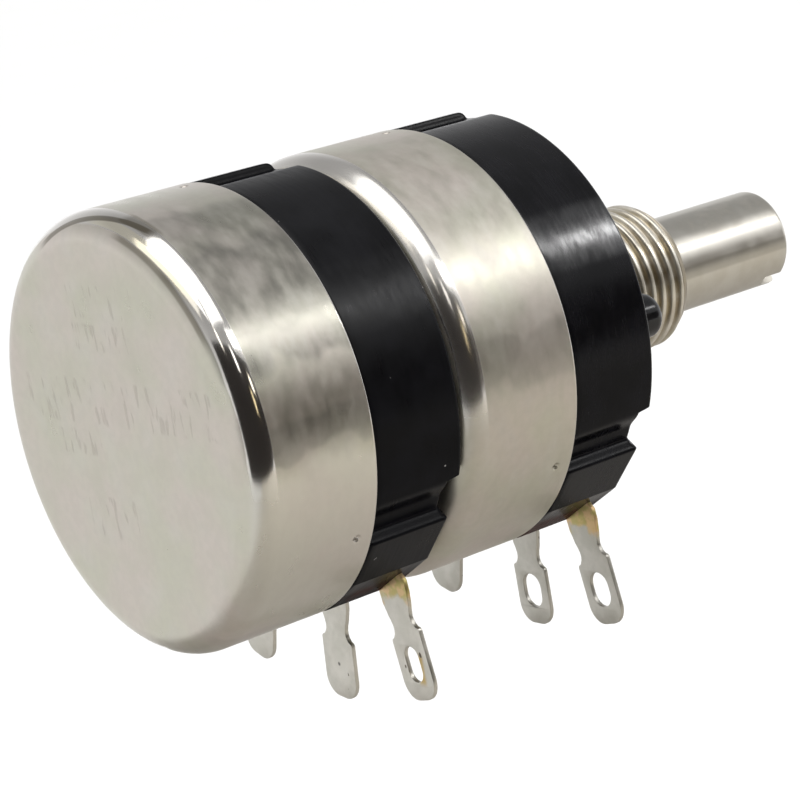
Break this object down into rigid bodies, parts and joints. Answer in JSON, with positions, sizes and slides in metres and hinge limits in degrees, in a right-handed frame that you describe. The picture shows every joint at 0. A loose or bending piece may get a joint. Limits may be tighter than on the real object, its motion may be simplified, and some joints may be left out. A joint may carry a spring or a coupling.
{
  "type": "dual-gang rotary potentiometer",
  "caption": "Panel-mounting rotary potentiometer: stacked metal-cased resistance units on black moulded bases share a slotted shaft in a threaded bushing, with solder lugs below.",
  "frame": {"origin": "on the shaft axis, at the front face of the front base, which seats on the panel", "axes": "+Y runs along the shaft towards the rear cover, so the shaft points to -Y; the solder lugs point to -Z; the anti-rotation peg is at -X"},
  "size_m": [0.0248, 0.0477, 0.0313],
  "materials": {
    "black_phenolic": "moulded black phenolic, semi-gloss",
    "nickel_cover": "satin nickel plate on drawn steel, handled and slightly blotchy",
    "bushing_nickel": "turned, nickel-plated brass, warm in the thread grooves",
    "shaft_nickel": "turned shaft with fine lathe lines",
    "spring_steel": "stamped spring steel",
    "paper_laminate": "brown paper-phenolic laminate, matt",
    "carbon_film": "printed carbon, satin",
    "silver_film": "silvered ring, burnished",
    "rotor_moulding": "natural moulded plastic, matt",
    "spring_bronze": "phosphor bronze spring sheet",
    "tinned_brass": "tinned solder lug, satin, flux-stained at the root",
    "rivet_brass": "plated brass, satin"
  },
  "bodies": {
    "housing": {"front_base": "black_phenolic", "rear_base": "black_phenolic", "front_cover": "nickel_cover", "rear_cover": "nickel_cover", "threaded_bushing": "bushing_nickel", "front_element_wafer": "paper_laminate", "front_resistive_track": "carbon_film", "front_collector_ring": "silver_film", "front_terminal_left": "tinned_brass", "front_rivet_left": "rivet_brass", "front_terminal_centre": "tinned_brass", "front_rivet_centre": "rivet_brass", "front_terminal_right": "tinned_brass", "front_rivet_right": "rivet_brass", "rear_element_wafer": "paper_laminate", "rear_resistive_track": "carbon_film", "rear_collector_ring": "silver_film", "rear_terminal_left": "tinned_brass", "rear_rivet_left": "rivet_brass", "rear_terminal_centre": "tinned_brass", "rear_rivet_centre": "rivet_brass", "rear_terminal_right": "tinned_brass", "rear_rivet_right": "rivet_brass", "gang_rivet_left": "rivet_brass", "gang_rivet_top": "rivet_brass", "gang_rivet_right": "rivet_brass"},
    "shaft_assembly": {"shaft": "shaft_nickel", "shaft_retaining_clip": "spring_steel", "front_rotor": "rotor_moulding", "rear_rotor": "rotor_moulding", "front_wiper_spring": "spring_bronze", "rear_wiper_spring": "spring_bronze"}
  },
  "joints": [
    {"name": "shaft_rotation", "type": "hinge", "parent": "housing", "child": "shaft_assembly", "pos_m": [0, 0, 0], "axis": [0, 1, 0], "range_deg": [-150, 150]}
  ]
}
